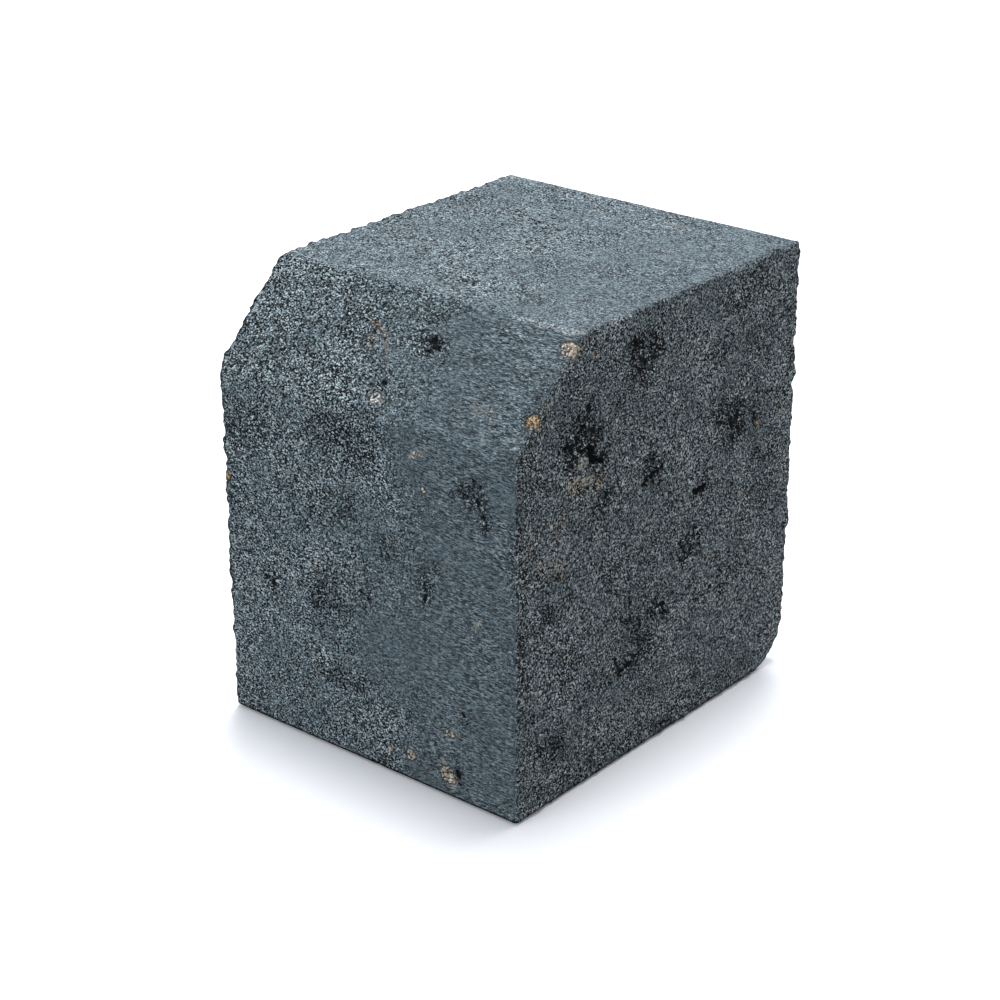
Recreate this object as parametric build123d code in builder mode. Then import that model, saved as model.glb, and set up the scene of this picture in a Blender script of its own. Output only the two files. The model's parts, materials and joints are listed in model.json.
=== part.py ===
from build123d import *
import os
from math import cos, pi, sin

# A small kerb block of charcoal-pigmented pressed concrete, standing as it is laid.
# +X runs along the kerb line, -Y is the road side, +Z is up.
# The origin is the middle of the bed, the face that stands in the mortar.

os.makedirs("parts", exist_ok=True)

# Driving dimensions of the block, in mm
kerb_length = 100  # between the two pressed end faces
kerb_depth = 120  # from the road side to the back
kerb_height = 125  # from the bed to the top
batter = 25  # legs of the 45 degree slope along the top of the road side
bullnose_radius = 16  # along the bottom of the back
batter_wear = 3  # radius worn onto the two arrises of the batter
arris_wear = 1.2  # radius worn onto the other long arrises
end_wear = 0.8  # radius worn onto the outline of each end face

# How an embedded stone is shaped: it is widest below the surface, so the mortar holds it
belly_level = 0.35  # depth of the widest section, as a share of the stone's depth
belly_swell = 1.15  # width there, as a share of the width showing at the surface
root_taper = 0.55  # width at the bottom, as a share of the width at the surface
corner_unevenness = (1.0, 0.84, 0.95, 0.8, 0.92)  # reach of each corner in turn

# Faces that show stones. Each plane's x and y run across and up its face.
front_face = Plane(origin=(0, -kerb_depth / 2, 0), x_dir=(1, 0, 0), z_dir=(0, -1, 0))
batter_face = Plane(
    origin=(0, -kerb_depth / 2, kerb_height - batter), x_dir=(1, 0, 0), z_dir=(0, -1, 1)
)
end_face = Plane(origin=(kerb_length / 2, 0, 0), x_dir=(0, 1, 0), z_dir=(1, 0, 0))

# The larger stones, one node each:
# face, place across, place up, width, height, depth, turn in degrees, corners
large_stones = {
    "hollow_pebble": (end_face, -34.0, 91.0, 4.8, 4.2, 4.0, 20, 7),
    "hollow_broken_stone": (end_face, -32.0, 86.0, 8.0, 3.0, 3.5, -5, 6),
    "corner_buff_pebble": (end_face, -37.8, 121.6, 4.6, 4.6, 4.0, 10, 7),
    "arris_ochre_stone": (end_face, -52.3, 107.4, 4.4, 2.6, 3.0, 45, 6),
    "foot_buff_stone": (front_face, 27.4, 6.8, 6.4, 5.2, 4.5, -35, 7),
    "foot_small_stone": (front_face, 14.5, 8.0, 4.0, 3.4, 3.0, -15, 6),
    "upper_buff_stone": (front_face, 28.2, 19.2, 4.0, 2.0, 2.6, -10, 6),
    "batter_pale_stone": (batter_face, 2.2, 5.0, 4.2, 3.6, 3.2, 15, 7),
    "far_ochre_stone": (front_face, -49.4, 69.2, 3.0, 3.2, 2.6, 0, 6),
}

# Coarse grit, one node for each kind: face, place across, place up, width, height
buff_grit = [
    (front_face, 7.2, 6.6, 1.4, 2.8),
    (front_face, 20.6, 84.7, 1.6, 2.2),
    (front_face, -28.0, 96.4, 2.0, 1.1),
    (end_face, -30.4, 118.6, 1.8, 1.4),
    (end_face, -27.6, 82.4, 2.0, 1.2),
    (end_face, -47.0, 110.6, 1.3, 1.2),
    (end_face, 55.4, 77.6, 1.8, 1.2),
    (end_face, 52.8, 31.8, 1.6, 1.4),
]
ochre_grit = [
    (batter_face, -7.0, 18.0, 1.3, 1.6),
    (batter_face, 5.8, 7.2, 1.4, 1.1),
    (end_face, -52.4, 77.4, 1.4, 1.1),
    (end_face, 43.0, 77.8, 3.0, 1.2),
    (end_face, 26.5, 99.6, 1.1, 1.2),
    (end_face, -15.0, 81.2, 1.3, 1.1),
    (front_face, -17.4, 54.0, 2.0, 1.1),
]
quartz_grit = [
    (batter_face, -0.5, 11.2, 1.1, 1.1),
    (batter_face, 1.4, 13.6, 1.0, 2.6),
    (front_face, 17.6, 93.4, 2.6, 1.0),
    (front_face, -18.9, 78.9, 1.0, 1.6),
    (front_face, 48.6, 63.2, 1.4, 1.8),
    (end_face, 13.6, 110.0, 1.8, 1.0),
    (end_face, -45.0, 84.5, 1.0, 1.4),
]
grit_depth = 1.2
grit_corners = 5
grit_turn_step = 40  # each grain is turned this much further than the one before

# The block without its stones
with BuildPart() as kerb_form:
    with BuildSketch(Plane.YZ) as kerb_profile:
        Rectangle(kerb_depth, kerb_height, align=(Align.CENTER, Align.MIN))
        top_corners = kerb_profile.vertices().group_by(Axis.Y)[-1].sort_by(Axis.X)
        chamfer(top_corners[0], batter)
        fillet(kerb_profile.vertices().group_by(Axis.Y)[0].sort_by(Axis.X)[-1], bullnose_radius)
        fillet(kerb_profile.vertices().group_by(Axis.Y)[0].sort_by(Axis.X)[0], arris_wear)
        fillet(kerb_profile.vertices().group_by(Axis.Y)[-1].sort_by(Axis.X)[-1], arris_wear)
        slope_corners = kerb_profile.vertices().group_by(Axis.Y)[-1].sort_by(Axis.X)[:1]
        slope_corners += kerb_profile.vertices().group_by(Axis.X)[0].sort_by(Axis.Y)[-1:]
        fillet(slope_corners, batter_wear)
    extrude(amount=kerb_length / 2, both=True)
    end_outlines = kerb_form.faces().filter_by(Axis.X).edges()
    fillet(end_outlines, end_wear)


def stone_outline(width, height, turn, corners):
    """Corners of an irregular stone's outline, about its middle."""
    points = []
    for number in range(corners):
        angle = 2 * pi * number / corners
        reach = corner_unevenness[number % len(corner_unevenness)]
        corner = Vector(reach * cos(angle) * width / 2, reach * sin(angle) * height / 2)
        points.append(corner.rotate(Axis.Z, turn))
    return points


def embedded_stone(face, across, up, width, height, depth, turn, corners):
    """A faceted stone set flush in a face, cut off where the block ends."""
    sections = (
        (0, 1),
        (belly_level * depth, belly_swell),
        (depth, root_taper),
    )
    outline = stone_outline(width, height, turn, corners)
    with BuildPart() as stone:
        for level, share in sections:
            with BuildSketch(face.offset(-level)):
                with Locations((across, up)):
                    Polygon(*[corner * share for corner in outline], align=None)
        loft(ruled=True)
        add(kerb_form, mode=Mode.INTERSECT)
    return stone.part


def grit_node(grains):
    """Grains of one kind of grit, as separate solids in one node."""
    with BuildPart() as node:
        for number, (face, across, up, width, height) in enumerate(grains):
            turn = number * grit_turn_step
            grain = embedded_stone(face, across, up, width, height, grit_depth, turn, grit_corners)
            add(grain)
    return node.part


stones = {name: embedded_stone(*shape) for name, shape in large_stones.items()}
stones["buff_grit"] = grit_node(buff_grit)
stones["ochre_grit"] = grit_node(ochre_grit)
stones["quartz_grit"] = grit_node(quartz_grit)

# The cast concrete, with a seat left by each stone
with BuildPart() as concrete_body:
    add(kerb_form)
    for stone in stones.values():
        add(stone, mode=Mode.SUBTRACT)

concrete_body.part.label = "concrete_body"
export_step(concrete_body.part, "parts/concrete_body.step")

for name, stone in stones.items():
    stone.label = name
    export_step(stone, f"parts/{name}.step")
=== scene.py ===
import json
import math
import bmesh
import bpy
import numpy as np
from mathutils import Matrix, Vector, noise


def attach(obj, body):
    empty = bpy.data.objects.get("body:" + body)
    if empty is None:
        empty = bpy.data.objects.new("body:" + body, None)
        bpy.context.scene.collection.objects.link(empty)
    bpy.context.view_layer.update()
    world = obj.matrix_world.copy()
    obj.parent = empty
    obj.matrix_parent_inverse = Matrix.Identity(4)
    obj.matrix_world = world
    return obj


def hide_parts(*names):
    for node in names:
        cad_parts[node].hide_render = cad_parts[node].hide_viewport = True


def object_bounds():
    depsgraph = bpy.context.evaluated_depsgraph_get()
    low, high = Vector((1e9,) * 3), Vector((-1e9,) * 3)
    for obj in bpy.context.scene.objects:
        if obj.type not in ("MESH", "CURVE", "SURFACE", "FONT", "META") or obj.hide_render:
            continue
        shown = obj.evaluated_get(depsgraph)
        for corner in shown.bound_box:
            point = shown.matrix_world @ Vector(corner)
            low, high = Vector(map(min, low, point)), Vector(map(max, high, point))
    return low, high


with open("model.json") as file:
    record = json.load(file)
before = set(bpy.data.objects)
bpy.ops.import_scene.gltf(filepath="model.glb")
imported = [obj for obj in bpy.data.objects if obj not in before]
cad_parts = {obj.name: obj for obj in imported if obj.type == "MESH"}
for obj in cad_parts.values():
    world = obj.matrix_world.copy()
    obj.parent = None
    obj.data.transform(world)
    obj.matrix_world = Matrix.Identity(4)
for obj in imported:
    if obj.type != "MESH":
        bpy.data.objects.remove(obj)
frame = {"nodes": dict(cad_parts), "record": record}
cadLow, cadHigh = [list(corner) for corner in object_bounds()]
print("frame loaded, block", [round(b - a, 4) for a, b in zip(cadLow, cadHigh)], "m")

mm = 0.001
halfLength = cadHigh[0] / mm  # surface detail is worked out in millimetres
halfDepth = cadHigh[1] / mm
blockHeight = cadHigh[2] / mm
slopeLeg = 25.0  # the 45 degree splay along the top of the road side
bullnoseRadius = 16.0
bedRounding = 3.0  # below this height only the lift of the bed moves a point up or down


# camera, floor and light

cameraView = {
    "azimuth": 39.83,  # degrees round from the road side, towards the near end
    "elevation": 23.89,
    "roll": -0.16,
    "distance": 0.6531,
    "aimRight": -0.00373,  # the frame's middle, measured from the middle of the block
    "aimUp": -0.00615,
    "lens": 86.49,
}

stageLook = {
    "floorSize": 8.0,
    "floorSeen": (1.31, 1.295, 1.32, 1),  # the floor as it shows, brightly overlit
    "floorBounce": (0.40, 0.41, 0.43, 1),  # the floor as it lights the block
    "backdrop": (1.0, 1.0, 1.0, 1),
    "backdropStrength": 1.05,
    "sky": (0.86, 0.93, 1.0, 1),
    "skyStrength": 0.33,
}

softLights = {  # place, aim, size, watts, colour
    "overheadSoftbox": ((-0.07, 0.21, 1.4), (0, 0, 0.06), 0.6, 12.8, (0.97, 0.98, 1.0)),
    "backSoftbox": ((-0.75, 1.15, 0.75), (0, 0, 0.1), 1.1, 12, (0.93, 0.97, 1.0)),
    "roadSideSoftbox": ((-0.3, -1.5, 0.5), (0, 0, 0.06), 1.3, 10.6, (0.95, 0.98, 1.0)),
    "farSideSoftbox": ((-1.6, 0.35, 0.55), (0, 0, 0.06), 1.2, 4.5, (0.95, 0.975, 1.0)),
    "endSoftbox": ((1.6, -0.25, 0.6), (0, 0, 0.06), 1.2, 6, (1.0, 0.985, 0.965)),
}


def showObject(name, data):
    thing = bpy.data.objects.new(name, data)
    bpy.context.scene.collection.objects.link(thing)
    return thing


def putNode(tree, kind, x, y, settings=None, inputs=None):
    node = tree.nodes.new("ShaderNode" + kind)
    node.location = (x, y)
    for name, value in (settings or {}).items():
        setattr(node, name, value)
    for name, value in (inputs or {}).items():
        node.inputs[name].default_value = value
    return node


def join(tree, source, output, target, socket):
    tree.links.new(source.outputs[output], target.inputs[socket])


def makeCamera(view):
    azimuth, elevation, roll = (math.radians(view[key]) for key in ("azimuth", "elevation", "roll"))
    back = Vector((
        math.sin(azimuth) * math.cos(elevation),
        -math.cos(azimuth) * math.cos(elevation),
        math.sin(elevation),
    ))
    right = Vector((math.cos(azimuth), math.sin(azimuth), 0))
    up = back.cross(right)
    tiltedRight = math.cos(roll) * right + math.sin(roll) * up
    tiltedUp = math.cos(roll) * up - math.sin(roll) * right
    aim = Vector((0, 0, cadHigh[2] / 2)) + view["aimRight"] * tiltedRight + view["aimUp"] * tiltedUp
    data = bpy.data.cameras.new("studioCamera")
    data.lens = view["lens"]
    data.clip_start = 0.01
    camera = showObject("studioCamera", data)
    turn = Matrix((tiltedRight, tiltedUp, back)).transposed().to_4x4()
    camera.matrix_world = Matrix.Translation(aim + view["distance"] * back) @ turn
    bpy.context.scene.camera = camera


def makeLight(name, place, aim, size, watts, colour):
    data = bpy.data.lights.new(name, "AREA")
    data.shape = "DISK"
    data.size = size
    data.energy = watts
    data.color = colour
    back = (Vector(place) - Vector(aim)).normalized()
    turn = back.to_track_quat("Z", "Y").to_matrix().to_4x4()
    showObject(name, data).matrix_world = Matrix.Translation(place) @ turn


# the floor and the backdrop show plain white, and light the block less than that
def mixForCamera(tree, otherwise, seen, output):
    ray = putNode(tree, "LightPath", -200, 400)
    mix = putNode(tree, "MixShader", 50, 0)
    out = putNode(tree, output, 250, 0)
    join(tree, ray, "Is Camera Ray", mix, 0)
    tree.links.new(otherwise.outputs[0], mix.inputs[1])
    tree.links.new(seen.outputs[0], mix.inputs[2])
    join(tree, mix, 0, out, "Surface")


def makeStage(look):
    half = look["floorSize"] / 2
    mesh = bpy.data.meshes.new("floorSheet")
    corners = [(-half, -half, 0), (half, -half, 0), (half, half, 0), (-half, half, 0)]
    mesh.from_pydata(corners, [], [(0, 1, 2, 3)])
    floor = showObject("floorSheet", mesh)
    material = bpy.data.materials.new("paleFloor")
    material.use_nodes = True
    tree = material.node_tree
    tree.nodes.clear()
    seen = putNode(tree, "BsdfDiffuse", -200, 100, inputs={"Color": look["floorSeen"]})
    bounced = putNode(tree, "BsdfDiffuse", -200, -100, inputs={"Color": look["floorBounce"]})
    mixForCamera(tree, bounced, seen, "OutputMaterial")
    mesh.materials.append(material)

    world = bpy.data.worlds.new("studio")
    bpy.context.scene.world = world
    world.use_nodes = True
    tree = world.node_tree
    tree.nodes.clear()
    sky = {"Color": look["sky"], "Strength": look["skyStrength"]}
    wall = {"Color": look["backdrop"], "Strength": look["backdropStrength"]}
    mixForCamera(
        tree,
        putNode(tree, "Background", -200, 100, inputs=sky),
        putNode(tree, "Background", -200, -100, inputs=wall),
        "OutputWorld",
    )


makeCamera(cameraView)
makeStage(stageLook)
for lightName, lightValues in softLights.items():
    makeLight(lightName, *lightValues)
bpy.context.scene.view_settings.view_transform = "Standard"
print("camera, floor and soft lights are in place")


# the shape of the block's surface, in mm

blockShape = {
    "grid": 0.42,  # spacing of the mesh
    "quickGrid": 1.1,
    "waviness": 0.22,
    "wallGrain": 0.085,  # relief of the sand in the faces that slid out of the mould
    "endGrain": 0.2,  # and in the pressed ends
    "drag": 1.8,  # how far the wall grain is drawn out along the block
    "wallPores": 0.38,
    "endPores": 0.62,
    "arrisBumps": 0.6,  # the crumbled outline of each end
    "batterSwell": 1.0,
    "bedLift": 0.3,
}

noiseSizes = {  # of each noise that shapes the surface, from the finest sand to slow waves
    "fine": 0.95,
    "middling": 1.5,
    "ragged": 1.5,
    "pebbled": 1.6,
    "coarse": 2.6,
    "seams": 2.6,
    "lumps": 4.5,
    "narrowLoose": 5.5,
    "clumps": 7.0,
    "wideLoose": 12.0,
    "broad": 24.0,
}

# where the mortar is loose and full of pores: across, up, half width, half height, how loose
loosePatches = {
    "end": [
        (-33, 96, 14, 10, 0.9), (-9, 112, 9, 9, 0.85), (-5, 80, 7, 6, 0.7), (32, 82, 14, 8, 0.75),
        (40, 100, 8, 10, 0.5), (-8, 38, 11, 9, 0.75), (-12, 28, 11, 5, 0.6), (12, 53, 9, 6, 0.75),
        (-45, 15, 7, 7, 0.6), (-47, 54, 7, 4, 0.6), (-38, 38, 6, 5, 0.4), (30, 38, 12, 6, 0.5),
        (0, 3, 45, 5, 0.35), (22, 105, 6, 5, 0.5), (-25, 77, 5, 6, 0.6), (16, 66, 5, 4, 0.6),
        (46, 60, 8, 16, 0.3), (-20, 58, 8, 6, 0.35), (34, 118, 10, 5, 0.45), (-32, 85, 8, 4, 0.75),
        (-58, 60, 3, 50, 0.5),
    ],
    "front": [
        (36, 87, 6, 9, 1.0), (20, 60, 5, 8, 0.8), (-14, 47, 8, 9, 0.65), (-7, 73, 8, 7, 0.6),
        (-3, 61, 6, 4, 0.5), (-11, 22, 10, 5, 0.55), (36, 53, 5, 4, 0.5), (-6, 92, 12, 8, 0.65),
        (-44, 86, 8, 10, 0.55), (-22, 70, 5, 6, 0.4), (33, 25, 3, 3, 0.6), (1, 49, 4, 4, 0.6),
        (49, 70, 3, 28, 0.55), (-34, 43, 4, 5, 0.55), (6, 64, 4, 4, 0.5), (31, 9, 3, 4, 0.6),
    ],
    "batter": [
        (11, 22.5, 8, 4.5, 1.0), (8, 30, 9, 5, 0.6), (-28, 12, 6, 5, 0.5), (-40, 20, 9, 14, 0.4),
        (4, 9, 5, 4, 0.5), (-14, 22, 12, 8, 0.4), (30, 7, 8, 5, 0.3), (17, 17, 4, 4, 0.5),
        (-10, 30, 40, 7, 0.3), (-20, 6, 30, 6, 0.3), (48, 14, 3, 14, 0.5),
    ],
    "top": [
        (5, -21, 6, 3, 0.6), (12, 0, 8, 12, 0.35), (-22, 15, 8, 10, 0.35), (5, 30, 10, 10, 0.3),
        (14, 54, 7, 4, 0.4), (40, 10, 8, 20, 0.25),
    ],
}

# open crevices between the grains: from across, up, to across, up, half width, depth
crevices = {
    "end": [
        (-46, 94.5, -40.5, 97, 0.5, 1.2), (-40.3, 96, -40, 100.3, 0.6, 1.6),
        (-37.5, 99, -33.5, 101, 0.8, 1.8), (-34.5, 101, -35.3, 104, 0.5, 1.4),
        (-33, 103, -30.5, 107.5, 0.4, 1.1), (-37.5, 95.5, -33, 93.8, 0.6, 1.3),
        (-31.3, 94.8, -29.6, 91.2, 1.2, 2.6), (-29.8, 90.8, -25.8, 89.2, 1.0, 2.2),
        (-26.5, 100, -26, 95.2, 0.5, 1.3), (-25.8, 99.6, -22, 98, 0.4, 1.0),
        (-29.5, 83.6, -24.5, 80.4, 0.6, 1.3), (-23.8, 79.6, -24.3, 75.2, 0.6, 1.2),
        (-38.5, 89.8, -36.8, 90.5, 0.4, 1.2), (-13, 119, -12, 112.6, 0.5, 1.1),
        (-6.3, 114.4, -5.4, 111.2, 0.9, 1.5), (-12, 110.5, -8, 107.5, 0.5, 0.9),
        (14, 67, 19, 66.8, 1.2, 2.4), (-8.4, 76.8, -0.4, 79.6, 0.8, 1.8), (-8, 83, -4, 84, 0.4, 1.0),
        (0.2, 92.5, 0.4, 88.6, 0.4, 0.9), (-13.2, 46.5, -12.4, 39, 0.6, 1.2),
        (-11.6, 39.2, -8.6, 38.6, 0.5, 1.1), (0.4, 38.8, 4.8, 35, 0.5, 1.1),
        (2.6, 39.6, 1.2, 34.5, 0.4, 1.0), (-19.3, 31.5, -17, 26.8, 0.6, 1.3),
        (-17.2, 26.2, -13, 27, 0.8, 1.5), (-10.5, 28.8, -7, 27.6, 0.6, 1.3),
        (-7, 27.3, -0.3, 26, 0.4, 1.1), (8.6, 54.5, 10.6, 50.2, 0.6, 1.2),
        (11.5, 50.6, 18, 51.2, 0.4, 1.0), (14, 52, 17, 54, 0.3, 0.8),
        (28, 40.6, 30.2, 40.6, 0.7, 1.1), (38, 33.5, 40.6, 29.6, 0.5, 1.0),
        (31.5, 36, 34.5, 35, 0.4, 0.8), (22, 85.5, 26, 82.2, 0.4, 0.9),
        (28.5, 80.8, 33.5, 83.6, 0.5, 1.0), (40.4, 79.2, 42.6, 82.4, 0.6, 1.1),
        (22.6, 107.5, 25, 104.2, 0.4, 0.8), (39.5, 96, 42, 99, 0.5, 0.9),
        (-46, 13.6, -41, 16, 0.6, 1.1), (-50, 56, -44, 53.6, 0.4, 0.8), (2, 3, 6, 2.4, 0.8, 1.5),
        (-30, 5, -28, 9, 0.5, 1.0), (48.5, 11.5, 51.5, 12.2, 0.6, 1.1),
        (36, 61.6, 38.5, 62, 0.5, 0.8), (33, 120, 35.5, 118, 0.5, 0.8),
        (41, 116, 43.5, 115, 0.4, 0.8),
    ],
    "front": [
        (32.5, 90, 34, 86.5, 0.7, 0.9), (36, 92, 39.5, 89.5, 0.7, 0.9),
        (37.5, 86, 39.5, 82.5, 0.8, 1.0), (34, 80.6, 35, 78.8, 0.6, 0.8),
        (32.2, 94.5, 33, 92.6, 0.6, 0.7), (20.3, 59.5, 19.9, 52.2, 0.5, 1.1),
        (5.2, 66, 9, 62.4, 0.4, 0.9), (-1.8, 50, 0.6, 50.2, 0.5, 1.0),
        (0.3, 50, 1.3, 46.8, 0.5, 1.1), (-33.4, 45.6, -33.2, 41.6, 0.7, 1.2),
        (-35.6, 43.6, -34.4, 42, 0.5, 0.8), (-34.8, 39.2, -34.2, 37.4, 0.6, 0.9),
        (-17.5, 79.4, -12, 79.2, 0.4, 0.9), (32.3, 26.8, 34, 23.8, 0.6, 0.9),
        (30.6, 8.6, 31.2, 5.8, 0.8, 1.8), (-9, 73.8, -5, 73, 0.4, 0.6),
        (-6, 62.5, -3, 60.2, 0.4, 0.7), (-16, 20.6, -12.6, 21.4, 0.5, 0.7),
        (-11, 22, -9, 20.6, 0.4, 0.6), (-19.4, 53, -19.6, 47.5, 0.4, 0.7),
        (-11, 49.8, -9.4, 46.4, 0.4, 0.7), (-13, 43, -9, 42, 0.4, 0.6),
    ],
    "batter": [
        (6, 24.4, 9, 22.6, 0.8, 0.9), (10, 23.5, 13.5, 21.6, 0.9, 1.1),
        (9.6, 20.4, 13, 19.6, 0.7, 0.9), (14.5, 18.6, 17.6, 18.4, 0.5, 0.7),
        (3.6, 28, 6.6, 26.6, 0.5, 0.6), (0.5, 9.3, 3.6, 9, 0.4, 0.9),
        (-0.6, 7.8, -0.8, 4.4, 0.4, 0.9), (5.0, 4.4, 5.2, 6.6, 0.4, 0.8),
        (-27.5, 11.4, -25.8, 12.4, 0.5, 0.6), (-7.6, 15.8, -5, 16.2, 0.4, 0.6),
        (-4, 15, -1, 14, 0.3, 0.5), (9, 30, 12.5, 28.6, 0.4, 0.5),
    ],
    "top": [
        (-1, -20, 1.5, -20.6, 0.4, 0.5), (1.6, -22, 5.4, -22.6, 0.8, 0.8),
        (-7, -10.5, -5.6, -12, 0.5, 0.5), (14.4, -2, 15.4, -4.4, 0.4, 0.4),
        (-24, 12.2, -21.8, 11.8, 0.6, 0.5), (2, 27.2, 8.6, 26.2, 0.4, 0.45),
        (1, 44.4, 5.6, 42, 0.4, 0.45), (8.4, 7, 9.4, 3, 0.3, 0.4), (-2.4, 29, -1, 27, 0.4, 0.4),
        (12, 56, 16, 57, 0.6, 0.5), (12, 51.6, 17.5, 51, 0.4, 0.4),
        (19.6, -21.6, 20.4, -22.8, 0.4, 0.5), (7.6, 20.8, 8.4, 20.2, 0.5, 0.5),
    ],
}

# colour smeared or washed over the mortar, and one light arris line that is partly wear and partly painted
# highlight: from across, up, to across, up, half width, strength
stainsAndHighlight = {
    "stoneDust": {
        "end": [(-38, 86, -27, 84.5, 2.8, 0.9), (-50, 68.5, -42, 65.5, 3.2, 0.3),
                (-36, 121, -33, 123.4, 1.0, 0.6), (-46, 108.6, -50, 109.6, 0.8, 0.4),
                (-6, 66, -7, 63, 1.4, 0.25)],
        "front": [(24.6, 8.6, 26, 10.4, 0.7, 0.7), (29, 3.4, 30, 5, 0.8, 0.6),
                  (29.6, 19.4, 31, 19.8, 0.7, 0.5), (16.5, 92.5, 21.5, 95.5, 0.7, 0.8),
                  (37, 52.5, 38.6, 53.8, 0.4, 0.9)],
        "batter": [(0.6, 5, 4.4, 4.4, 1.6, 0.45), (48, 33, 50, 29, 0.9, 0.5),
                   (32, 9, 38, 10, 2.0, 0.25)],
        "top": [(47, -34, 50, -34, 0.8, 0.5), (12, 52, 20, 47, 1.6, 0.2)],
    },
    "ochreStain": {
        "batter": [(-8.2, 23.4, -4.4, 21.4, 0.5, 0.6), (-4.4, 21.4, -1.4, 18, 0.5, 0.6),
                   (-1.4, 18, 0.6, 14.6, 0.4, 0.5), (-7.4, 19.4, -6.2, 17.4, 1.0, 0.4)],
        "end": [(-51, 105, -54, 110, 1.0, 0.4), (-40, 80, -44, 76, 2.4, 0.18),
                (-55, 77, -51, 78, 1.4, 0.3)],
    },
    # partly wear and partly painted highlight: a light line along the arris between the batter and the top,
    # near the near end
    "wearAndHighlight": {
        "batter": [(29, 34.9, 50, 35.1, 0.45, 0.8)],
        "top": [(29, -34.7, 50, -34.5, 0.45, 0.85)],
    },
}


def noiseField(points, size, drag=1.0, shift=0.0, basis="PERLIN_ORIGINAL"):
    scaled = points / (size * np.array([drag, 1.0, 1.0])) + shift
    return np.array([noise.noise(p, noise_basis=basis) for p in scaled.tolist()])


def rampUp(values, low, high):
    t = np.clip((values - low) / (high - low), 0, 1)
    return t * t * (3 - 2 * t)


# how far each point is inside the two ends, and inside the faces between them
def depthInside(points):
    x, y, z = points.T
    root = math.sqrt(0.5)
    fromEnds = halfLength - np.abs(x)
    slope = (halfDepth + blockHeight - slopeLeg + y - z) * root
    fromWalls = np.minimum.reduce([halfDepth + y, halfDepth - y, z, blockHeight - z, slope])
    corner = np.hypot(y - (halfDepth - bullnoseRadius), bullnoseRadius - z)
    inCorner = (y > halfDepth - bullnoseRadius) & (z < bullnoseRadius)
    return fromEnds, np.where(inCorner, np.minimum(fromWalls, bullnoseRadius - corner), fromWalls)


faceFrames = {  # where each face's own across and up start and which way they and its normal run
    "end": ((halfLength, 0, 0), (0, 1, 0), (0, 0, 1), (1, 0, 0)),
    "front": ((0, -halfDepth, 0), (1, 0, 0), (0, 0, 1), (0, -1, 0)),
    "batter": ((0, -halfDepth, blockHeight - slopeLeg), (1, 0, 0), (0, 1, 1), (0, -1, 1)),
    "top": ((0, 0, blockHeight), (1, 0, 0), (0, 1, 0), (0, 0, 1)),
}


# how far each point belongs to a face, and where it is across and up that face
def ontoFace(points, normals, face):
    origin, across, up, outward = (np.array(v, float) for v in faceFrames[face])
    across, up, outward = (v / np.linalg.norm(v) for v in (across, up, outward))
    local = points - origin
    onFace = rampUp(normals @ outward, 0.5, 0.8) * (np.abs(local @ outward) < 2.5)
    return onFace, local @ across, local @ up


# how near each point is to the drawn marks, from 1 in the middle of one down to 0
def alongMarks(points, normals, marks, ragged, soft):
    cover = np.zeros(len(points))
    for face, lines in marks.items():
        onFace, u, v = ontoFace(points, normals, face)
        for startU, startV, endU, endV, halfWidth, strength in lines:
            reach = halfWidth + soft + 1.5
            near = (u > min(startU, endU) - reach) & (u < max(startU, endU) + reach) & (onFace > 0)
            near &= (v > min(startV, endV) - reach) & (v < max(startV, endV) + reach)
            run, rise = endU - startU, endV - startV
            length = max(run * run + rise * rise, 1e-6)
            part = np.clip(((u[near] - startU) * run + (v[near] - startV) * rise) / length, 0, 1)
            away = np.hypot(u[near] - startU - part * run, v[near] - startV - part * rise)
            away += 0.8 * ragged[near]
            mark = strength * rampUp(-away, -halfWidth - soft, -0.25 * halfWidth) * onFace[near]
            cover[near] = np.maximum(cover[near], mark)
    return cover


def looseness(points, normals, ragged):
    wide = noiseField(points, noiseSizes["wideLoose"], 1.0, 57.0)
    narrow = noiseField(points, noiseSizes["narrowLoose"], 1.0, 91.0)
    loose = 0.85 * rampUp(wide + 0.6 * narrow, 0.22, 0.75)
    drawn = np.zeros(len(points))
    shown = np.zeros(len(points))
    for face, patches in loosePatches.items():
        onFace, u, v = ontoFace(points, normals, face)
        shown = np.maximum(shown, onFace)
        for centreU, centreV, halfWidth, halfHeight, strength in patches:
            reach = np.hypot((u - centreU) / halfWidth, (v - centreV) / halfHeight) + 0.9 * ragged
            drawn = np.maximum(drawn, strength * rampUp(-reach, -1.3, -0.2) * onFace)
    return np.maximum(drawn, loose * (1 - 0.55 * shown))


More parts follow.
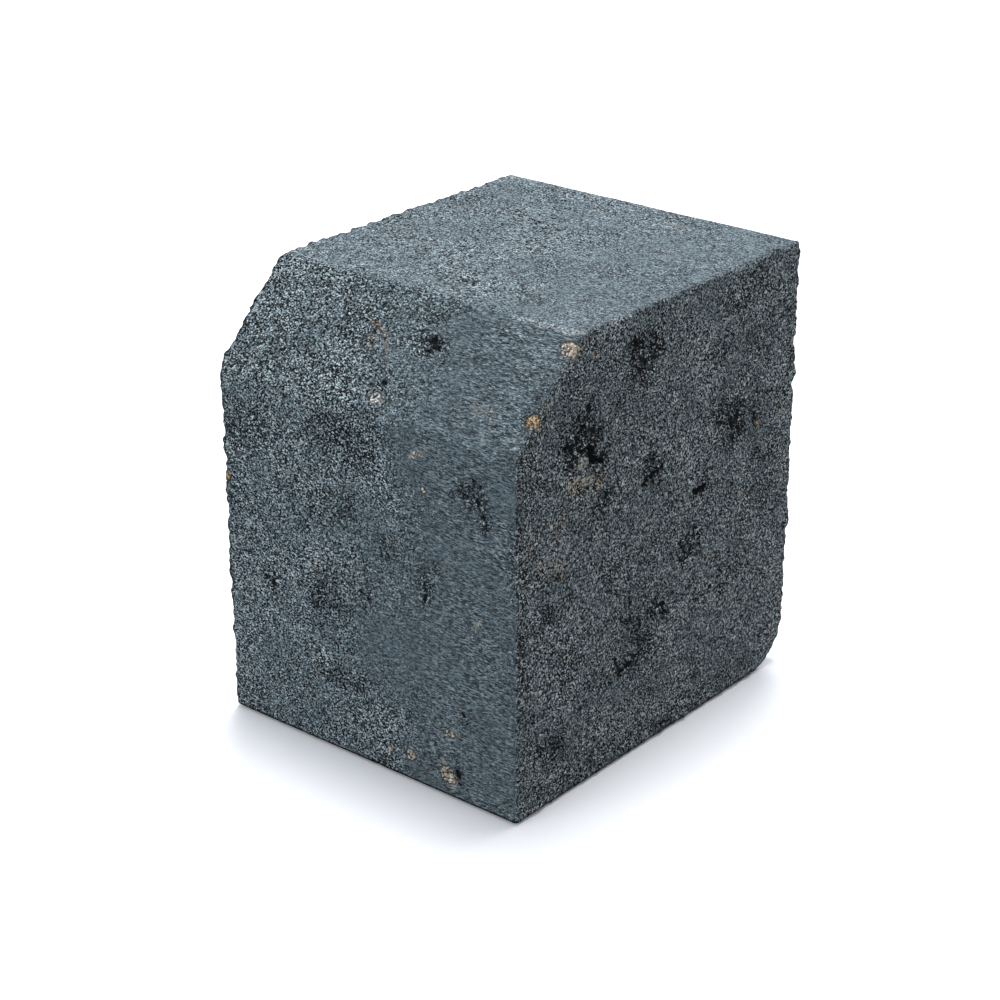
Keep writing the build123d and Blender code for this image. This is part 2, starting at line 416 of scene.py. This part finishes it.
def surfaceRelief(points, normals, shape):
    fromEnds, fromWalls = depthInside(points)
    onEnd = rampUp(np.abs(normals[:, 0]), 0.55, 0.85)
    onTop = rampUp(normals[:, 2], 0.8, 0.95)
    drag = shape["drag"]

    fine = noiseField(points, noiseSizes["fine"], drag)
    middling = noiseField(points, noiseSizes["middling"], drag, 31.0)
    ragged = noiseField(points, noiseSizes["ragged"], 1.0, 7.0)
    coarse = noiseField(points, noiseSizes["coarse"], 1.0, 13.0)
    broad = noiseField(points, noiseSizes["broad"], 1.0, 3.0)
    lumps = noiseField(points, noiseSizes["lumps"], 1.0, 41.0)
    clumps = noiseField(points, noiseSizes["clumps"], 1.0, 77.0)
    pebbled = noiseField(points, noiseSizes["pebbled"], 1.0, 23.0, "VORONOI_F1")
    loose = looseness(points, normals, clumps + 0.4 * coarse)

    rough = 0.75 + 0.8 * loose
    wallRelief = shape["wallGrain"] * (0.9 * fine + 0.8 * middling) * rough * (1 - 0.4 * onTop)
    sandy = 0.6 * ragged + 0.5 * fine + 0.55 * coarse - 0.7 * (pebbled + 0.4)
    endRelief = shape["endGrain"] * sandy * rough

    # seams stand open between the coarser grains where the mortar is loose
    warped = points + 0.5 * np.stack([middling, ragged, fine], 1)
    fromSeam = 0.5 + 0.5 * noiseField(warped, noiseSizes["seams"], 1.0, 67.0, "VORONOI_F2F1")
    seam = rampUp(0.28 * loose + 0.12 * coarse - 0.04 - fromSeam, -0.07, 0.08)
    wallPores = shape["wallPores"] * seam * (0.35 + 0.65 * loose) * (1 - 0.4 * onTop)
    endPores = shape["endPores"] * seam * (0.35 + 0.65 * loose)
    crevice = alongMarks(points, normals, crevices, ragged + 0.7 * fine, 0.2)
    crevice *= 0.45 + 0.55 * np.maximum(seam, rampUp(crevice, 1.2, 2.0))
    pores = np.maximum(crevice, wallPores * (1 - onEnd) + endPores * onEnd)

    # the outline of each end stands proud in places and has crumbled in others
    arris = np.maximum(fromEnds, fromWalls)
    arrisReach = 2.0 + 0.8 * coarse
    nearArris = rampUp(-arris, -arrisReach, -0.2)
    bumps = shape["arrisBumps"] * (1.1 * lumps + 0.7 * coarse + 0.6 * ragged + 0.15) * nearArris
    # the outline of the bed stands off the floor, leaving a shallow gap under the foot of every face; the
    # dark line along the foot is painted shade, set in the material
    inset = np.minimum(fromEnds, halfDepth - np.abs(points[:, 1]))
    lift = shape["bedLift"] * (1 + (1.1 * lumps + 0.7 * coarse) * rampUp(-fromEnds, -5.0, -1.0))
    lift *= rampUp(-inset, -5.0, -0.4) * rampUp(-points[:, 2], -2.6, 0.0)

    # the batter is a little full in the middle, between its two arrises
    up = (points[:, 2] - (blockHeight - slopeLeg)) / slopeLeg
    onBatter = rampUp(-normals[:, 1] * normals[:, 2], 0.2, 0.45)
    onBatter += onEnd * (points[:, 1] < slopeLeg - halfDepth)
    swell = shape["batterSwell"] * np.clip(4 * up * (1 - up), 0, 1) * np.clip(onBatter, 0, 1)

    relief = shape["waviness"] * broad + wallRelief * (1 - onEnd) + endRelief * onEnd - pores + bumps
    inSeat = rampUp(-np.minimum(fromEnds, fromWalls), -0.7, -0.35)  # 0 down in a stone's seat
    relief *= inSeat
    offset = normals * relief[:, None]
    root = math.sqrt(0.5)
    underSlope = (halfDepth + blockHeight - slopeLeg + points[:, 1] - points[:, 2]) * root
    nearSlope = rampUp(-np.abs(underSlope), -3.0, -0.5)
    offset += (swell * nearSlope * root)[:, None] * np.array([0.0, -1.0, 1.0])
    offset[:, 2] = np.where(points[:, 2] < bedRounding, lift, offset[:, 2])

    # the mould wall combed the near half of the road side, and the other faces only lightly
    combed = rampUp(points[:, 0] + 18 * broad, -4.0, 26.0) * (1 - onEnd) * (1 - loose)
    combed *= 0.3 + 0.7 * rampUp(-normals[:, 1], 0.3, 0.65)
    # painted shade: a dark line along the foot of every face, a painted contact shadow where the block
    # meets the floor, and a dark line round the rim of the far end
    foot = rampUp(-points[:, 2], -1.6, -1.0) * (1 - 0.35 * onEnd)
    farRim = 0.8 * rampUp(-points[:, 0], halfLength - 1.3, halfLength - 0.6)
    values = {
        "poreDepth": pores,
        "endFace": onEnd,
        "topFace": onTop,
        "loose": loose,
        "combed": combed,
        "foot": np.maximum(foot, farRim),
    }
    return offset, values, ragged


def voxelCopy(source, name, voxel):
    mesh = source.data.copy()
    mesh.materials.clear()
    shell = bmesh.new()
    shell.from_mesh(mesh)
    bmesh.ops.remove_doubles(shell, verts=shell.verts, dist=1e-6)
    shell.to_mesh(mesh)
    shell.free()
    rough = showObject(name + "Form", mesh)
    remesh = rough.modifiers.new("evenGrid", "REMESH")
    remesh.mode = "VOXEL"
    remesh.voxel_size = voxel
    graph = bpy.context.evaluated_depsgraph_get()
    even = bpy.data.meshes.new_from_object(rough.evaluated_get(graph))
    bpy.data.objects.remove(rough)
    even.name = name
    return showObject(name, even)


def readMesh(mesh):
    points = np.empty(len(mesh.vertices) * 3)
    normals = np.empty(len(mesh.vertices) * 3)
    mesh.vertices.foreach_get("co", points)
    mesh.vertex_normals.foreach_get("vector", normals)
    return points.reshape(-1, 3) / mm, normals.reshape(-1, 3)


def writeMesh(mesh, points):
    mesh.vertices.foreach_set("co", (points * mm).ravel())
    mesh.shade_smooth()
    mesh.update()


def storeValue(mesh, name, values):
    layer = mesh.attributes.new(name, "FLOAT", "POINT")
    layer.data.foreach_set("value", values)


def makeBlock(shape):
    grid = shape["grid"]
    block = voxelCopy(frame["nodes"]["concrete_body"], "castConcrete", grid * mm)
    points, normals = readMesh(block.data)
    offset, values, ragged = surfaceRelief(points, normals, shape)
    for name, marks in stainsAndHighlight.items():
        values[name] = alongMarks(points, normals, marks, ragged, 0.5)
    points += offset
    points[:, 2] = np.maximum(points[:, 2], 0)
    writeMesh(block.data, points)
    for name, value in values.items():
        storeValue(block.data, name, value)
    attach(block, "root")
    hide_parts("concrete_body")
    print("cast concrete:", len(block.data.polygons), "faces")
    return block


block = makeBlock(blockShape)


# the stones that show

stoneShape = {
    "grid": 0.16,
    "gritGrid": 0.1,
    "bite": 0.16,  # relief of a broken face
    "gritShare": 0.5,  # how much of that relief the small grit has
    "flakes": 0.05,
}


def makeStone(node, shape):
    isGrit = node.endswith("grit")
    grid = shape["gritGrid"] if isGrit else shape["grid"]
    stone = voxelCopy(frame["nodes"][node], node + "_rough", grid * mm)
    points, normals = readMesh(stone.data)
    bite = shape["bite"] * (shape["gritShare"] if isGrit else 1.0)
    broken = noiseField(points, 0.9, 1.0, 5.0)
    facets = noiseField(points, 1.3, 1.0, 17.0, "VORONOI_F1")
    flaked = noiseField(points, 0.4, 1.0, 2.0)
    relief = bite * (0.8 * broken - 1.1 * (facets + 0.3)) + shape["flakes"] * flaked
    points += normals * relief[:, None]
    writeMesh(stone.data, points)
    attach(stone, "root")
    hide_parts(node)
    return stone


slotOf = {part["node"]: part["material_slot"] for part in frame["record"]["subparts"]}
stones = {}
for node, slot in slotOf.items():
    if node != "concrete_body":
        stones[node] = makeStone(node, stoneShape)
print("stones:", len(stones), "pieces")


# node groups that the materials share

def newGroup(name, inputs, outputs):
    group = bpy.data.node_groups.new(name, "ShaderNodeTree")
    for socketName, kind, value in inputs:
        socket = group.interface.new_socket(socketName, in_out="INPUT", socket_type="NodeSocket" + kind)
        if value is not None:
            socket.default_value = value
    for socketName, kind in outputs:
        group.interface.new_socket(socketName, in_out="OUTPUT", socket_type="NodeSocket" + kind)
    start = group.nodes.new("NodeGroupInput")
    end = group.nodes.new("NodeGroupOutput")
    start.location = (-900, 0)
    end.location = (900, 0)
    return group, start, end


def putMath(tree, operation, x, y, first, second, third=None):
    node = putNode(tree, "Math", x, y, {"operation": operation})
    for index, value in enumerate((first, second, third)):
        if isinstance(value, (int, float)):
            node.inputs[index].default_value = value
        elif value is not None:
            tree.links.new(value, node.inputs[index])
    return node.outputs[0]


def putRange(tree, x, y, value, low, high, newLow=0.0, newHigh=1.0, smooth=True):
    kind = "SMOOTHSTEP" if smooth else "LINEAR"
    node = putNode(tree, "MapRange", x, y, {"interpolation_type": kind})
    tree.links.new(value, node.inputs["Value"])
    for socket, number in zip(("From Min", "From Max", "To Min", "To Max"), (low, high, newLow, newHigh)):
        node.inputs[socket].default_value = number
    return node.outputs["Result"]


# sand bedded in cement: each grain has a tone of its own, and pores stand open where it is loose
def makeSandGrain():
    group, start, end = newGroup(
        "sandGrain",
        [("Position", "Vector", None), ("Loose", "Float", 0.0), ("Grain Size", "Float", 0.4 * mm),
         ("Drag", "Float", 1.0)],
        [("Tone", "Float"), ("Seam", "Float"), ("Pores", "Float"), ("Height", "Float")],
    )
    perDrag = putMath(group, "DIVIDE", -700, -200, 1.0, start.outputs["Drag"])
    perGrain = putMath(group, "DIVIDE", -700, -400, 1.0, start.outputs["Grain Size"])
    stretch = putNode(group, "CombineXYZ", -500, -200, inputs={"Y": 1.0, "Z": 1.0})
    group.links.new(perDrag, stretch.inputs["X"])
    drawn = putNode(group, "VectorMath", -300, 0, {"operation": "MULTIPLY"})
    join(group, start, "Position", drawn, 0)
    join(group, stretch, 0, drawn, 1)
    sized = putNode(group, "VectorMath", -100, 0, {"operation": "SCALE"})
    join(group, drawn, 0, sized, 0)
    group.links.new(perGrain, sized.inputs["Scale"])
    grains = putNode(group, "TexVoronoi", 150, 300, {"feature": "F1"}, {"Scale": 0.95})
    cement = putNode(group, "TexNoise", 150, 0, inputs={"Scale": 1.3, "Detail": 1.0, "Roughness": 0.7})
    flecks = putNode(group, "TexNoise", 150, -900, inputs={"Scale": 0.58, "Detail": 0.0})
    clustering = {"Scale": 0.08, "Detail": 2.0, "Roughness": 0.6}
    clusters = putNode(group, "TexNoise", 150, -1200, inputs=clustering)
    ragged = putNode(group, "TexNoise", 150, -300, inputs={"Scale": 0.5, "Detail": 3.0, "Roughness": 0.7})
    seams = putNode(group, "TexVoronoi", 150, -600, {"feature": "DISTANCE_TO_EDGE"}, {"Scale": 0.16})
    for texture in (grains, cement, ragged, seams, flecks, clusters):
        join(group, sized, 0, texture, "Vector")
    split = putNode(group, "SeparateColor", 350, 400)
    join(group, grains, "Color", split, 0)
    cementTone = putRange(group, 350, 0, cement.outputs["Fac"], 0.3, 0.7, smooth=False)
    tone = putMath(group, "MULTIPLY", 550, 400, split.outputs[0], 0.84)
    tone = putMath(group, "MULTIPLY_ADD", 550, 250, cementTone, 0.16, tone)
    # a gap is as wide as the mortar there is loose
    width = putMath(group, "MULTIPLY_ADD", 350, -450, start.outputs["Loose"], 0.075, -0.195)
    width = putMath(group, "MULTIPLY_ADD", 450, -450, ragged.outputs["Fac"], 0.35, width)
    over = putMath(group, "SUBTRACT", 550, -450, width, seams.outputs["Distance"])
    cracks = putRange(group, 650, -450, over, -0.02, 0.03)
    # small pits lie between the grains everywhere, in clusters, and crowd where it is loose
    reach = putMath(group, "MULTIPLY_ADD", 350, -900, start.outputs["Loose"], 0.12, 0.235)
    reach = putMath(group, "MULTIPLY_ADD", 450, -900, clusters.outputs["Fac"], 0.3, reach)
    over = putMath(group, "SUBTRACT", 550, -900, reach, flecks.outputs["Fac"])
    pits = putRange(group, 650, -900, over, -0.01, 0.02)
    pores = putMath(group, "MAXIMUM", 750, -700, cracks, pits)
    dome = putRange(group, 350, 150, grains.outputs["Distance"], 0.0, 0.75, 1.0, 0.0)
    height = putMath(group, "MULTIPLY", 550, 0, dome, 0.5)
    height = putMath(group, "MULTIPLY_ADD", 700, 0, cementTone, 0.5, height)
    height = putMath(group, "MULTIPLY_ADD", 800, -150, pores, -1.4, height)
    group.links.new(tone, end.inputs["Tone"])
    seam = putRange(group, 500, -700, seams.outputs["Distance"], 0.02, 0.3, 1.0, 0.0)
    group.links.new(seam, end.inputs["Seam"])
    group.links.new(pores, end.inputs["Pores"])
    group.links.new(height, end.inputs["Height"])
    return group


# a cloudy change of tone, wider than any grain
def makeCloudPatch():
    group, start, end = newGroup(
        "cloudPatch",
        [("Position", "Vector", None), ("Patch Size", "Float", 12 * mm), ("Shift", "Float", 0.0)],
        [("Value", "Float")],
    )
    perPatch = putMath(group, "DIVIDE", -700, -200, 1.0, start.outputs["Patch Size"])
    sized = putNode(group, "VectorMath", -500, 0, {"operation": "SCALE"})
    join(group, start, "Position", sized, 0)
    group.links.new(perPatch, sized.inputs["Scale"])
    moved = putNode(group, "VectorMath", -300, 0, {"operation": "ADD"})
    join(group, sized, 0, moved, 0)
    join(group, start, "Shift", moved, 1)
    cloud = putNode(group, "TexNoise", -100, 0, inputs={"Scale": 1.0, "Detail": 4.0, "Roughness": 0.6})
    join(group, moved, 0, cloud, "Vector")
    group.links.new(putRange(group, 150, 0, cloud.outputs["Fac"], 0.3, 0.7), end.inputs["Value"])
    return group


# odd grains of another mineral, one here and there
def makeStrayGrains():
    group, start, end = newGroup(
        "strayGrains",
        [("Position", "Vector", None), ("Spacing", "Float", 2 * mm), ("Grain Share", "Float", 0.3),
         ("Grain Reach", "Float", 0.25)],
        [("Mask", "Float"), ("Pick", "Float")],
    )
    perCell = putMath(group, "DIVIDE", -700, -200, 1.0, start.outputs["Spacing"])
    sized = putNode(group, "VectorMath", -500, 0, {"operation": "SCALE"})
    join(group, start, "Position", sized, 0)
    group.links.new(perCell, sized.inputs["Scale"])
    ragged = putNode(group, "TexNoise", -500, -300, inputs={"Scale": 4.0, "Detail": 1.0})
    join(group, sized, 0, ragged, "Vector")
    cells = putNode(group, "TexVoronoi", -300, 0, {"feature": "F1"}, {"Scale": 1.0})
    join(group, sized, 0, cells, "Vector")
    split = putNode(group, "SeparateColor", -100, 200)
    join(group, cells, "Color", split, 0)
    chosen = putMath(group, "LESS_THAN", 100, 200, split.outputs[0], start.outputs["Grain Share"])
    reach = putMath(group, "MULTIPLY", -100, -200, start.outputs["Grain Reach"], split.outputs[1])
    edge = putMath(group, "MULTIPLY_ADD", -100, -50, ragged.outputs["Fac"], 0.22, cells.outputs["Distance"])
    edge = putMath(group, "SUBTRACT", 50, -50, edge, 0.11)
    inside = putMath(group, "LESS_THAN", 200, 0, edge, reach)
    group.links.new(putMath(group, "MULTIPLY", 400, 100, chosen, inside), end.inputs["Mask"])
    join(group, split, 2, end, "Pick")
    return group


sandGrain = makeSandGrain()
cloudPatch = makeCloudPatch()
strayGrains = makeStrayGrains()


def placeGroup(tree, group, x, y, position, **values):
    node = tree.nodes.new("ShaderNodeGroup")
    node.node_tree = group
    node.location = (x, y)
    tree.links.new(position, node.inputs["Position"])
    for name, value in values.items():
        node.inputs[name].default_value = value
    return node


def putMix(tree, x, y, factor, first, second, blend="MIX"):
    node = putNode(tree, "Mix", x, y, {"data_type": "RGBA", "blend_type": blend})
    for socket, value in ((node.inputs[0], factor), (node.inputs[6], first), (node.inputs[7], second)):
        if isinstance(value, (int, float, tuple)):
            socket.default_value = value
        else:
            tree.links.new(value, socket)
    return node.outputs[2]


def putBlend(tree, x, y, factor, first, second):
    node = putNode(tree, "Mix", x, y, {"data_type": "FLOAT"})
    for socket, value in zip((0, 2, 3), (factor, first, second)):
        tree.links.new(value, node.inputs[socket])
    return node.outputs[0]


def putRamp(tree, x, y, factor, stops):
    node = putNode(tree, "ValToRGB", x, y)
    ramp = node.color_ramp
    while len(ramp.elements) < len(stops):
        ramp.elements.new(0.5)
    for element, (place, colour) in zip(ramp.elements, stops):
        element.position = place
        element.color = (*colour, 1)
    tree.links.new(factor, node.inputs[0])
    return node.outputs[0]


def putAttribute(tree, x, y, name):
    return putNode(tree, "Attribute", x, y, {"attribute_name": name}).outputs["Fac"]


# materials

concreteLook = {
    "wallTones": [(0.1, (0.002, 0.003, 0.004)), (0.3, (0.033, 0.044, 0.050)), (0.5, (0.113, 0.149, 0.169)),
                  (0.7, (0.244, 0.316, 0.354)), (0.93, (0.71, 0.81, 0.85))],
    "endTones": [(0.1, (0.002, 0.003, 0.004)), (0.3, (0.031, 0.038, 0.043)), (0.5, (0.108, 0.132, 0.144)),
                 (0.7, (0.235, 0.286, 0.306)), (0.93, (0.73, 0.79, 0.81))],
    "wallGrain": {"Grain Size": 0.3 * mm, "Drag": 1.25},
    "endGrain": {"Grain Size": 0.34 * mm},
    "combGrain": {"Grain Size": 0.2 * mm, "Drag": 4.4},
    "combShare": 0.8,  # how far the comb's lines take the place of the plain grains
    "cloud": {"Patch Size": 16 * mm},
    "mottle": {"Patch Size": 3.0 * mm, "Shift": 5.0},
    # near black painted into pores, crevices and the foot of each face: painted shade
    "paintedShadeTone": (0.006, 0.0065, 0.007, 1),
    "dustTone": (0.58, 0.52, 0.43, 1),
    "ochreTone": (0.42, 0.25, 0.1, 1),
    # colour of the light arris line: partly wear, partly painted highlight
    "wearAndHighlightTone": (0.62, 0.66, 0.7, 1),
    "gloss": 0.2,
    "roughness": 0.72,  # of the grain tips, while the gaps between them are fully rough
    "bumpDepth": 0.3 * mm,
    "strayGrain": {"Spacing": 2.0 * mm, "Grain Share": 0.2, "Grain Reach": 0.3},
    "strayTones": [(0.0, (0.8, 0.79, 0.75)), (0.4, (0.62, 0.57, 0.47)), (0.7, (0.6, 0.45, 0.27)),
                   (1.0, (0.42, 0.42, 0.41))],
}


# tones pushed apart or drawn together about the middle one
def spreadTone(tree, x, y, tone, contrast):
    middle = putMath(tree, "SUBTRACT", x - 100, y, tone, 0.5)
    return putMath(tree, "MULTIPLY_ADD", x, y, middle, contrast, 0.5)


def makeConcrete(look):
    material = bpy.data.materials.new("charcoalConcrete")
    material.use_nodes = True
    tree = material.node_tree
    shader = tree.nodes["Principled BSDF"]
    shader.inputs["Specular IOR Level"].default_value = look["gloss"]
    place = putNode(tree, "TexCoord", -2400, 0).outputs["Object"]
    onEnd = putAttribute(tree, -2400, 900, "endFace")
    loose = putAttribute(tree, -2400, 700, "loose")
    depth = putAttribute(tree, -2400, 500, "poreDepth")
    dust = putAttribute(tree, -2400, -900, "stoneDust")
    ochre = putAttribute(tree, -2400, -1100, "ochreStain")
    wearAndHighlight = putAttribute(tree, -2400, -1300, "wearAndHighlight")
    combed = putAttribute(tree, -2400, -1500, "combed")
    foot = putAttribute(tree, -2400, -1700, "foot")
    onTop = putAttribute(tree, -2400, -1900, "topFace")
    wall = placeGroup(tree, sandGrain, -1800, 300, place, **look["wallGrain"])
    comb = placeGroup(tree, sandGrain, -1800, 600, place, **look["combGrain"])
    end = placeGroup(tree, sandGrain, -1800, 0, place, **look["endGrain"])
    cloud = placeGroup(tree, cloudPatch, -1800, -300, place, **look["cloud"])
    mottle = placeGroup(tree, cloudPatch, -1800, -500, place, **look["mottle"])
    stray = placeGroup(tree, strayGrains, -1800, -700, place, **look["strayGrain"])
    for grain in (wall, end):
        tree.links.new(loose, grain.inputs["Loose"])

    # where the mould wall combed the sand, its grains are drawn out into fine lines
    combShare = putMath(tree, "MULTIPLY", -1750, 750, combed, look["combShare"])
    wallTone = putBlend(tree, -1600, 400, combShare, wall.outputs["Tone"], comb.outputs["Tone"])
    # in places a smooth skin of cement covers the sand, more where it was combed; on top the grain contrast
    # is lowered further, a painted veil of reflected light
    skinContrast = putRange(tree, -1600, -150, cloud.outputs[0], 0, 1, 0.7, 1.2, smooth=False)
    topVeilContrast = putRange(tree, -1600, -250, onTop, 0, 1, 1.0, 0.76)
    combContrast = putRange(tree, -1600, -350, combed, 0, 1, 1.03, 0.8)
    contrast = putMath(tree, "MULTIPLY", -1450, -150, skinContrast, topVeilContrast)
    contrast = putMath(tree, "MULTIPLY", -1350, -150, contrast, combContrast)
    wallSpread = spreadTone(tree, -1550, 300, wallTone, contrast)
    endSpread = spreadTone(tree, -1550, 0, end.outputs["Tone"], contrast)
    wallColour = putRamp(tree, -1400, 300, wallSpread, look["wallTones"])
    endColour = putRamp(tree, -1400, 0, endSpread, look["endTones"])
    colour = putMix(tree, -1100, 100, onEnd, wallColour, endColour)
    broadTone = putRange(tree, -1400, -300, cloud.outputs[0], 0, 1, 1.06, 0.97, smooth=False)
    smallTone = putRange(tree, -1400, -500, mottle.outputs[0], 0, 1, 0.92, 1.08, smooth=False)
    looseTone = putRange(tree, -1400, -650, loose, 0, 1, 0.98, 1.08, smooth=False)
    # painted light: all faces are lifted a little and the top face more, as the top catches more light and
    # a sheen
    paintedTopLight = putRange(tree, -1200, -550, onTop, 0, 1, 1.1, 1.27)
    light = putMath(tree, "MULTIPLY", -1200, -400, broadTone, smallTone)
    light = putMath(tree, "MULTIPLY", -1050, -400, light, looseTone)
    light = putMath(tree, "MULTIPLY", -950, -400, light, paintedTopLight)
    colour = putMix(tree, -900, 100, 1.0, colour, light, "MULTIPLY")
    # stone dust, iron stain and the light arris line, partly wear and partly painted highlight, catch the
    # grains and miss the gaps between them
    proud = putRange(tree, -1200, -1000, end.outputs["Tone"], 0.4, 0.62, 0.0, 1.25)
    for index, (cover, tone) in enumerate(((dust, "dustTone"), (ochre, "ochreTone"))):
        amount = putMath(tree, "MULTIPLY", -900, -900 - 200 * index, cover, proud)
        colour = putMix(tree, -750 + 150 * index, 100, amount, colour, look[tone])
    speckle = putRange(tree, -1200, -1300, wall.outputs["Tone"], 0.45, 0.62, 0.05, 1.0)
    wearAndHighlightShare = putMath(tree, "MULTIPLY", -900, -1300, wearAndHighlight, speckle)
    colour = putMix(tree, -450, 100, wearAndHighlightShare, colour, look["wearAndHighlightTone"])
    strayColour = putRamp(tree, -1400, -800, stray.outputs["Pick"], look["strayTones"])
    share = putRange(tree, -1200, 900, onEnd, 0, 1, 0.3, 0.85, smooth=False)
    strayMask = putMath(tree, "MULTIPLY", -1000, -700, stray.outputs["Mask"], share)
    colour = putMix(tree, -300, 100, strayMask, colour, strayColour)
    # painted shade: the gaps, pores and crevices are painted near black, as shade falls in them; the foot
    # of each face gets a painted contact shadow, and the rim of the far end a dark line
    combPores = putMath(tree, "MULTIPLY", -1450, 650, comb.outputs["Pores"], 0.6)
    wallPores = putBlend(tree, -1300, 550, combed, wall.outputs["Pores"], combPores)
    pores = putBlend(tree, -1100, 500, onEnd, wallPores, end.outputs["Pores"])
    frayed = putRange(tree, -1400, 700, end.outputs["Seam"], 0.0, 1.0, 0.6, 1.7, smooth=False)
    sunk = putMath(tree, "MULTIPLY", -1250, 700, depth, frayed)
    sunk = putRange(tree, -1100, 700, sunk, 0.46, 0.82, 0.0, 1.0)
    gaps = putMath(tree, "MAXIMUM", -800, 600, pores, sunk)
    gapShade = putMath(tree, "MULTIPLY", -650, 600, gaps, 0.97)
    colour = putMix(tree, -150, 100, gapShade, colour, look["paintedShadeTone"])
    footShade = putMath(tree, "MULTIPLY", -650, 750, foot, 0.98)
    colour = putMix(tree, 0, 100, footShade, colour, look["paintedShadeTone"])
    tree.links.new(colour, shader.inputs["Base Color"])

    sheltered = putMath(tree, "MAXIMUM", -500, 400, gaps, foot)
    rough = putRange(tree, -350, 400, sheltered, 0, 1, look["roughness"], 1.0, smooth=False)
    tree.links.new(rough, shader.inputs["Roughness"])

    height = putBlend(tree, -700, -500, onEnd, wall.outputs["Height"], end.outputs["Height"])
    bump = putNode(tree, "Bump", -300, -500, inputs={"Strength": 0.9, "Distance": look["bumpDepth"]})
    tree.links.new(height, bump.inputs["Height"])
    join(tree, bump, 0, shader, "Normal")
    return material


stoneLooks = {  # tones from the dark gaps to the grain tips, and how much cement clings to the stone
    "tan_stone": ([(0.1, (0.16, 0.157, 0.137)), (0.35, (0.29, 0.285, 0.25)), (0.6, (0.38, 0.373, 0.33)),
                   (0.9, (0.56, 0.55, 0.49))], 0.08),
    "buff_stone": ([(0.1, (0.14, 0.115, 0.09)), (0.35, (0.36, 0.295, 0.228)), (0.6, (0.54, 0.45, 0.35)),
                    (0.9, (0.86, 0.76, 0.62))], 0.22),
    "ochre_stone": ([(0.1, (0.12, 0.075, 0.03)), (0.35, (0.34, 0.205, 0.085)), (0.6, (0.54, 0.34, 0.145)),
                     (0.9, (0.86, 0.63, 0.35))], 0.28),
    "pale_stone": ([(0.1, (0.3, 0.28, 0.25)), (0.35, (0.5, 0.47, 0.42)), (0.6, (0.7, 0.67, 0.61)),
                    (0.9, (0.92, 0.89, 0.84))], 0.3),
    "quartz": ([(0.1, (0.2, 0.2, 0.2)), (0.35, (0.5, 0.5, 0.49)), (0.6, (0.74, 0.74, 0.72)),
                (0.9, (0.95, 0.95, 0.93))], 0.2),
}


stoneGrain = {"Grain Size": 0.42 * mm, "Loose": 0.2}
cementFilm = {"Patch Size": 1.3 * mm, "Shift": 9.0}


def makeStoneLook(slot, tones, cover):
    material = bpy.data.materials.new(slot)
    material.use_nodes = True
    tree = material.node_tree
    shader = tree.nodes["Principled BSDF"]
    isQuartz = slot == "quartz"
    shader.inputs["Specular IOR Level"].default_value = 0.6 if isQuartz else 0.35
    place = putNode(tree, "TexCoord", -1900, 0).outputs["Object"]
    grain = placeGroup(tree, sandGrain, -1500, 100, place, **stoneGrain)
    film = placeGroup(tree, cloudPatch, -1500, -200, place, **cementFilm)
    colour = putRamp(tree, -1000, 100, grain.outputs["Tone"], tones)
    cementColour = putRamp(tree, -1000, 350, grain.outputs["Tone"], concreteLook["wallTones"])
    edge = 1 - cover
    cement = putRange(tree, -1000, -200, film.outputs[0], edge - 0.1, edge + 0.1, 0.0, 0.9)
    colour = putMix(tree, -600, 100, cement, colour, cementColour)
    # painted shade: the pores between the grains are painted near black
    pores = putMath(tree, "MULTIPLY", -700, -100, grain.outputs["Pores"], 0.85)
    colour = putMix(tree, -400, 100, pores, colour, concreteLook["paintedShadeTone"])
    tree.links.new(colour, shader.inputs["Base Color"])
    smoothest = 0.45 if isQuartz else 0.75
    rough = putRange(tree, -500, -250, grain.outputs["Tone"], 0, 1, 0.9, smoothest, smooth=False)
    tree.links.new(rough, shader.inputs["Roughness"])
    bump = putNode(tree, "Bump", -300, -500, inputs={"Strength": 0.8, "Distance": 0.15 * mm})
    join(tree, grain, "Height", bump, "Height")
    join(tree, bump, 0, shader, "Normal")
    return material


block.data.materials.append(makeConcrete(concreteLook))
stoneMaterials = {slot: makeStoneLook(slot, *values) for slot, values in stoneLooks.items()}
for node, stone in stones.items():
    stone.data.materials.append(stoneMaterials[slotOf[node]])
print("materials are on")
